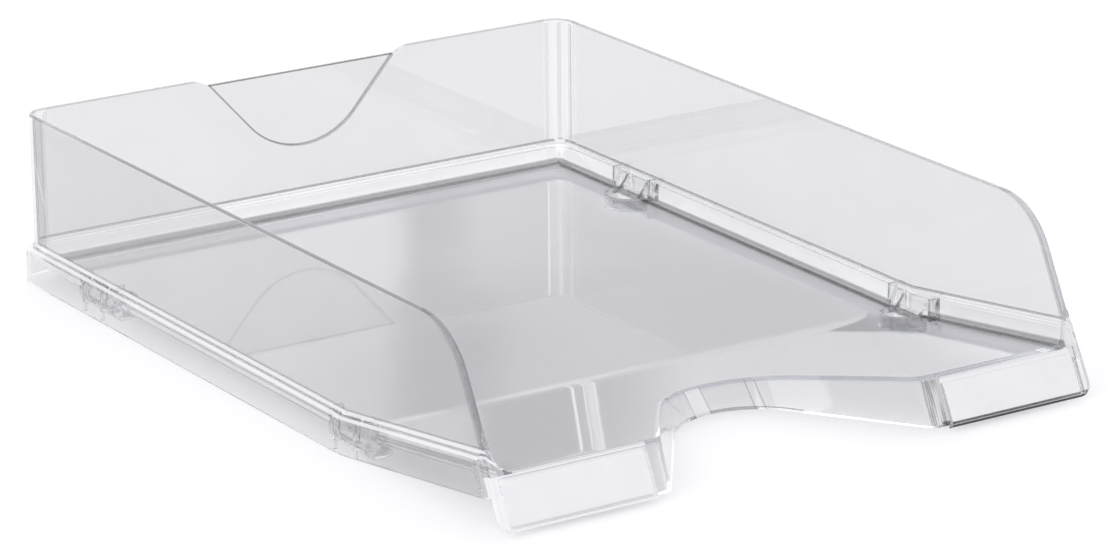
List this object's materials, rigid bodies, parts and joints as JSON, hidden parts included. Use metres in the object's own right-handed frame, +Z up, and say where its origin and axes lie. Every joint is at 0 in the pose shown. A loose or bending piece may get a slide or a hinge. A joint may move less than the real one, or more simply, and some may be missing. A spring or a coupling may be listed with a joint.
{
  "type": "letter tray",
  "caption": "Clear stacking letter tray with a ramped floor, a grip cut-out and two front label windows with slide-in cards.",
  "frame": {"origin": "centre of the tray's bounding box at the level it rests on", "axes": "+X to the tray's right as seen from the front, +Y to the back, +Z up"},
  "size_m": [0.255, 0.35, 0.067],
  "materials": {
    "clear_plastic": "clear, glossy",
    "clear_window": "clear, glossy",
    "card": "matt"
  },
  "bodies": {
    "body": {"tray": "clear_plastic", "label_window_left": "clear_window", "label_window_right": "clear_window"},
    "card_left": {"label_card_left": "card"},
    "card_right": {"label_card_right": "card"}
  },
  "joints": [
    {"name": "left_card_slide", "type": "slide", "parent": "body", "child": "card_left", "axis": [1, 0, 0], "range_m": [0, 0.045]},
    {"name": "right_card_slide", "type": "slide", "parent": "body", "child": "card_right", "axis": [-1, 0, 0], "range_m": [0, 0.045]}
  ]
}
